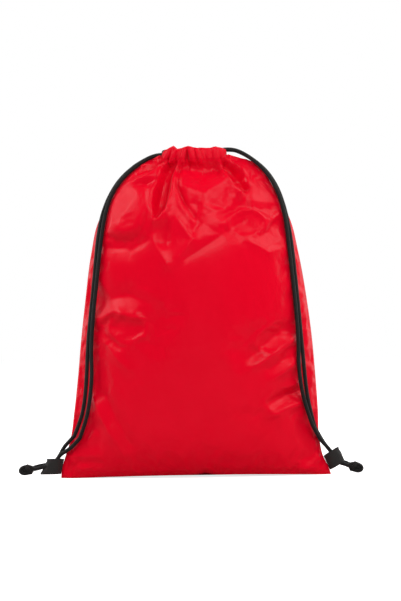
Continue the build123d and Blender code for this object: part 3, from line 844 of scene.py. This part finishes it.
def draped(ring, faces, rows, around):
    """Lets the slack cloth buckle between its seams, as far as it would in a filled bag."""
    sleeve = new_piece("sleeve", ring, faces)
    held = sleeve.vertex_groups.new(name="held")
    for row in range(rows):
        for step in range(around):
            at_seam = step in (0, columns)
            near_seam = min(step, abs(step - columns), around - step) == 1
            weight = 1.0 if row >= rows - 2 or row == 0 or at_seam else 0.6 if near_seam else 0.0
            if weight:
                held.add([row * around + step], weight, "REPLACE")
    cloth = sleeve.modifiers.new("cloth", "CLOTH")
    settings = cloth.settings
    settings.quality = 5
    settings.mass = 0.1
    settings.tension_stiffness = 20
    settings.compression_stiffness = 20
    settings.shear_stiffness = 8
    settings.bending_stiffness = 0.25
    settings.air_damping = 4
    settings.vertex_group_mass = "held"
    settings.use_pressure = True
    settings.uniform_pressure_force = 0.3
    settings.shrink_min = -0.012
    settings.effector_weights.gravity = 0.0
    cloth.collision_settings.use_collision = False
    scene = bpy.context.scene
    settling_time = 14
    scene.frame_start, scene.frame_end = 1, settling_time
    for moment in range(1, settling_time + 1):
        scene.frame_set(moment)
    graph = bpy.context.evaluated_depsgraph_get()
    mesh = sleeve.evaluated_get(graph).to_mesh()
    found = np.empty(len(ring) * 3)
    mesh.vertices.foreach_get("co", found)
    scene.frame_set(1)
    bpy.data.objects.remove(sleeve)
    moved = found.reshape(-1, 3) - ring
    length = np.linalg.norm(moved, axis=1)
    cap = 0.007  # the filling lets the cloth move no further
    return ring + moved * (cap * np.tanh(length / cap) / np.maximum(length, 1e-9))[:, None]


under = base_rows * around
above = [tuple(corner - under for corner in face) for face in faces if min(face) >= under]
ring[under:] = draped(ring[under:], above, rows - base_rows, around)
ring = ring.reshape(rows, around, 3)


def taffeta():
    """Red nylon taffeta: a fine plain weave with a soft shine and faint marks of its packing."""
    material, tree, shader = finish_with(
        "red_taffeta", Specular_IOR_Level=0.08, Sheen_Weight=0.08, Sheen_Roughness=0.25
    )
    across, along = laid_out(tree)
    warp_pitch, weft_pitch = 0.0009, 0.0008
    warp = ripple(tree, across * (2 * math.pi / warp_pitch))
    weft = ripple(tree, along * (2 * math.pi / weft_pitch))
    weave = (warp * weft) * 0.5 + 0.5
    cloud = noise(tree, 14.0, 3.0)
    slub = noise(tree, 420.0, 2.0)
    wrinkle = noise(tree, 55.0, 2.0, 0.8)
    crinkle = noise(tree, 170.0, 3.0, 0.4)
    shade = cloud * 0.5 + weave * 0.2 + slub * 0.3
    colour = tinted(tree, shade, (0.63, 0.0001, 0.011), (0.73, 0.0003, 0.017))
    tree.links.new(colour.socket, shader.inputs["Base Color"])
    tree.links.new((0.15 + cloud * 0.08 + slub * 0.04).socket, shader.inputs["Roughness"])
    raised(tree, shader, weave * 0.05 + wrinkle * 0.6 + crinkle * 0.3 + slub * 0.05, 0.0004)
    return material


cloth_finish = taffeta()
strand_points = np.concatenate(strand_lines)
strand_tree = KDTree(len(strand_points))
# The part of the strands that lies on the front panel is looked up flat, as seen from the front.
lying = [point for point in strand_points if point[1] < -0.006]
lying_tree = KDTree(len(lying))
for finder, points, flat in ((strand_tree, strand_points, 1), (lying_tree, lying, 0)):
    for index, (x, y, z) in enumerate(points):
        finder.insert((x, y * flat, z), index)
    finder.balance()


def pressed_under_cords(mesh, side):
    """Dents the cloth where a cord lies on it."""
    clearance = cord_radius + 0.0004
    dent_reach, dent_slope = 0.012, 2.5
    for vertex in mesh.vertices:
        if side < 0:
            _, index, distance = lying_tree.find((vertex.co.x, 0, vertex.co.z))
            limit = lying[index][1] + clearance - dent_slope * max(0.0, distance - cord_radius)
            vertex.co.y = max(vertex.co.y, limit) if distance < dent_reach else vertex.co.y
        nearest, _, distance = strand_tree.find(vertex.co)
        if distance < clearance + 0.0015:
            inwards = Vector((-vertex.co.x * 0.35, -vertex.co.y, 0)).normalized()
            away = vertex.co - nearest
            push = clearance - away.dot(-inwards)
            if distance < clearance or push > 0:
                reach = max(0.0, clearance - distance)
                vertex.co += inwards * min(reach * 1.6 + 0.0002, 0.006)


for side, half in ((-1, ring[:, : columns + 1]), (1, ring[:, [0, *range(around - 1, columns - 1, -1)]])):
    name = "front" if side < 0 else "back"
    half = folded_grid(half * 1000, side, front_folds if side < 0 else back_folds) / 1000
    height_count, width_count = half.shape[:2]
    climb = run_along(half[:, columns])
    faces, layout = [], []
    for row in range(height_count - 1):
        for column in range(width_count - 1):
            low, high = row * width_count + column, (row + 1) * width_count + column
            face = (low, low + 1, high + 1, high)
            left = cloth_width * column / (2 * columns)
            right = cloth_width * (column + 1) / (2 * columns)
            spots = [(left, climb[row]), (right, climb[row]), (right, climb[row + 1]), (left, climb[row + 1])]
            faces.append(face if side < 0 else face[::-1])
            layout += spots if side < 0 else spots[::-1]
    panel = new_piece(name + "_cloth", half.reshape(-1, 3), faces, layout)
    pressed_under_cords(panel.data, side)
    panel.data.materials.append(cloth_finish)
    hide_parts(name + "_panel")
    name + "_hem"
    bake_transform(panel)


# ---- Hems -------------------------------------------------------------------------------------------
# The top edge of each panel is turned over and sewn down as a tunnel for the cords. Drawn tight, it
# gathers into uneven pleats with a ruffled top.
hem_columns = 180
# Top edge of a hem: place across the bag and height.
ruffle = [
    (-43, 411.5), (-40, 413.5), (-36, 416.2), (-30, 418.6), (-25, 420.8), (-20.5, 416.6), (-14, 418.0),
    (-7, 420.0), (0, 418.2), (4, 417.4), (10, 417.8), (16, 417.3), (22, 417.6), (28, 419.2), (33, 417.9),
    (38, 417.2), (43, 415.0),
]
# Once round a hem: share of its height, outward offset, how much of the pleats shows.
profile = [
    (-0.13, 3.6, 1.0), (-0.03, 5.2, 1.0), (0.1, 5.0, 1.0), (0.22, 4.8, 1.0), (0.36, 4.5, 0.95),
    (0.5, 4.2, 0.9), (0.65, 3.6, 0.9), (0.78, 2.8, 0.9), (0.88, 2.0, 0.9), (0.95, 1.0, 0.95),
    (0.99, 0.2, 0.9), (1.0, -0.8, 0.8), (0.97, -1.6, 0.6), (0.9, -2.4, 0.2), (0.78, -3.2, -0.1),
    (0.6, -3.9, -0.25), (0.4, -4.0, -0.25), (0.2, -3.7, -0.25), (0.03, -3.3, -0.2), (-0.1, -2.2, -0.2),
    (-0.14, 0.6, 0.5),
]
for side, name in ((-1, "front"), (1, "back")):
    share = np.linspace(-1, 1, hem_columns + 1)
    place = hem_reach * share
    heads = np.interp(place * -side, *zip(*ruffle))
    points, faces, layout = [], [], []
    for index in range(len(share)):
        head = float(heads[index])
        pinch = 1 - 0.45 * float(eased_step((abs(share[index]) - 0.93) / 0.07))
        for rise, offset, shown in profile:
            wave = float(pleat_wave(place[index], side, rise))
            x, y = hem_outline(side, offset * pinch + shown * wave, share[index])
            points.append((x / 1000, y / 1000, (hem_foot + rise * (head - hem_foot)) / 1000))
    count = len(profile)
    for column in range(len(share) - 1):
        for step in range(count):
            after = (step + 1) % count
            near, beyond = column * count, (column + 1) * count
            face = (near + step, beyond + step, beyond + after, near + after)
            left, right = cloth_width * column / hem_columns, cloth_width * (column + 1) / hem_columns
            low, high = 0.0018 * step, 0.0018 * (step + 1)
            spots = [(left, low), (right, low), (right, high), (left, high)]
            faces.append(face if side < 0 else face[::-1])
            layout += spots if side < 0 else spots[::-1]
    hem = new_piece(name + "_hem_cloth", points, faces, layout)
    settled(hem, ("SUBSURF", {"levels": 1}))
    hem.data.materials.append(cloth_finish)
    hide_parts(name + "_hem")
    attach(hem, name + "_hem")
    bpy.data.objects[name + "_cloth"]
for name in ("bottom_seam_allowance", "left_seam_allowance", "right_seam_allowance"):
    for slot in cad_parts[name].material_slots:
        slot.material = cloth_finish


# ---- Floor and lights -------------------------------------------------------------------------------
# A plain white studio: a floor that keeps the shadow of the bag, three large soft lamps above it, and
# weaker ones in front, at both sides and behind.
def ray(tree, kind):
    """1 for rays of one kind, 0 for all others."""
    paths = tree.nodes.new("ShaderNodeLightPath")
    return Socket(tree, paths.outputs[kind])


world = bpy.data.worlds.new("studio")
bpy.context.scene.world = world
world.use_nodes = True
tree = world.node_tree
backdrop = tree.nodes["Background"]
tree.links.new((ray(tree, "Is Camera Ray") * 0.75 + 0.25).socket, backdrop.inputs["Strength"])
backdrop.inputs["Color"].default_value = (1, 1, 1, 1)
floor = new_piece("floor", [(-6, -6, 0), (6, -6, 0), (6, 6, 0), (-6, 6, 0)], [(0, 1, 2, 3)])
material, tree, shader = finish_with("floor", Roughness=0.9, Specular_IOR_Level=0.1)
floor_colour = tinted(tree, ray(tree, "Is Glossy Ray"), (0.8, 0.8, 0.8), (0.25, 0.25, 0.25))
tree.links.new(floor_colour.socket, shader.inputs["Base Color"])
shader.inputs["Emission Color"].default_value = (1, 1, 1, 1)
tree.links.new((ray(tree, "Is Camera Ray") * 0.78).socket, shader.inputs["Emission Strength"])
floor.data.materials.append(material)
for name, place, size, power, mirrored in (
    ("left_key_lamp", (-1.8, -0.1, 1.85), (1.1, 1.1), 25.0, True),
    ("top_key_lamp", (0.3, -1.65, 1.9), (1.8, 0.9), 34.0, True),
    ("right_key_lamp", (1.75, -0.2, 1.75), (1.1, 1.1), 20.0, True),
    ("front_lamp", (0.2, -2.4, 0.35), (1.5, 1.5), 2.5, False),
    ("left_lamp", (-1.4, 0.85, 0.5), (1.2, 1.4), 9.0, True),
    ("right_lamp", (1.4, 0.85, 0.5), (1.2, 1.4), 9.0, True),
    ("rear_lamp", (0.5, 2.2, 1.6), (0.8, 0.8), 10.0, True),
):
    lamp = bpy.data.objects.new(name, bpy.data.lights.new(name, "AREA"))
    lamp.data.shape = "RECTANGLE"
    lamp.data.size, lamp.data.size_y = size
    lamp.data.energy = power
    lamp.location = place
    lamp.rotation_euler = (Vector((0, 0, 0.25)) - Vector(place)).to_track_quat("-Z", "Y").to_euler()
    lamp.visible_glossy = mirrored
    bpy.context.collection.objects.link(lamp)
